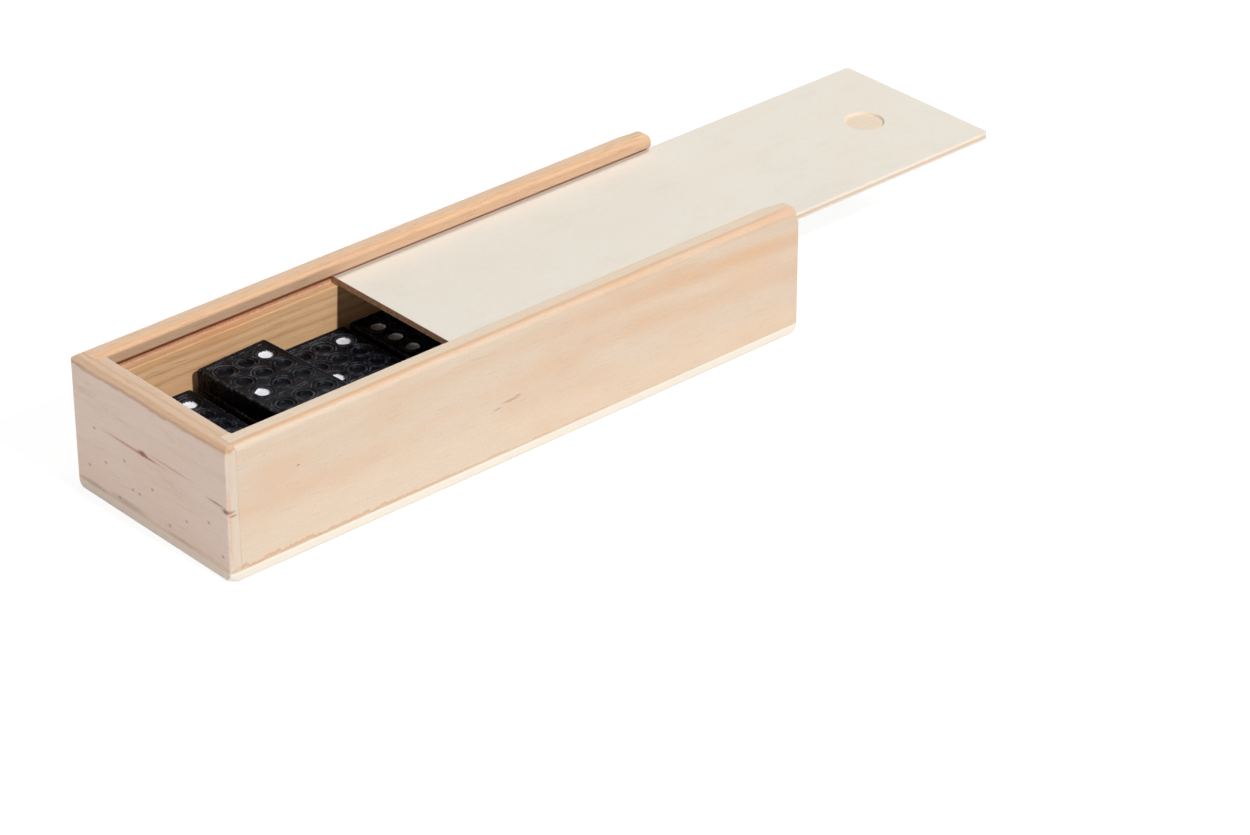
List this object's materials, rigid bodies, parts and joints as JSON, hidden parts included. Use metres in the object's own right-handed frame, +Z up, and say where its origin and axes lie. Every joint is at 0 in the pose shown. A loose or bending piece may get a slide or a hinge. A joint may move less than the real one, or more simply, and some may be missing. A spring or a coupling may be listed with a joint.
{
  "type": "domino storage box",
  "caption": "Wooden storage box with a thumb-recessed sliding lid in grooves, part open over stacked black dominoes.",
  "frame": {"origin": "centre of the box's underside, where it rests", "axes": "+X along the box to the open end, the way the lid draws out; +Y to the back side; +Z up"},
  "size_m": [0.2099, 0.05, 0.03],
  "materials": {
    "pine": "bare sanded softwood, warm tan with fine grain",
    "pale_plywood": "bare pale plywood with a light brown core",
    "black_stained_wood": "black stained pressed wood, satin, with white painted pips"
  },
  "bodies": {
    "root": {"bottom_panel": "pale_plywood", "front_side": "pine", "back_side": "pine", "closed_end": "pine", "open_end": "pine", "tile_0_1": "black_stained_wood", "tile_3_5": "black_stained_wood", "tile_4_6": "black_stained_wood", "tile_2_2": "black_stained_wood", "tile_5_6": "black_stained_wood", "tile_1_3": "black_stained_wood", "tile_4_0": "black_stained_wood", "tile_1_2": "black_stained_wood", "tile_3_3": "black_stained_wood", "tile_0_6": "black_stained_wood", "tile_2_5": "black_stained_wood", "tile_4_4": "black_stained_wood", "tile_1_6": "black_stained_wood", "tile_2_3": "black_stained_wood", "tile_4_1": "black_stained_wood", "tile_2_4": "black_stained_wood", "tile_6_3": "black_stained_wood", "tile_5_4": "black_stained_wood", "tile_0_0": "black_stained_wood", "tile_6_6": "black_stained_wood", "tile_3_4": "black_stained_wood"},
    "lid": {"lid": "pale_plywood"},
    "end_tile": {"tile_3_0": "black_stained_wood"},
    "loose_tile": {"tile_2_0": "black_stained_wood"}
  },
  "joints": [
    {"name": "lid_slide", "type": "slide", "parent": "root", "child": "lid", "axis": [1, 0, 0], "range_m": [-0.0599, 0.0851]},
    {"name": "end_tile_lift", "type": "slide", "parent": "root", "child": "end_tile", "axis": [0, 0, 1], "range_m": [0, 0.04]},
    {"name": "loose_tile_lift", "type": "slide", "parent": "root", "child": "loose_tile", "axis": [0, 0, 1], "range_m": [0, 0.04]}
  ]
}
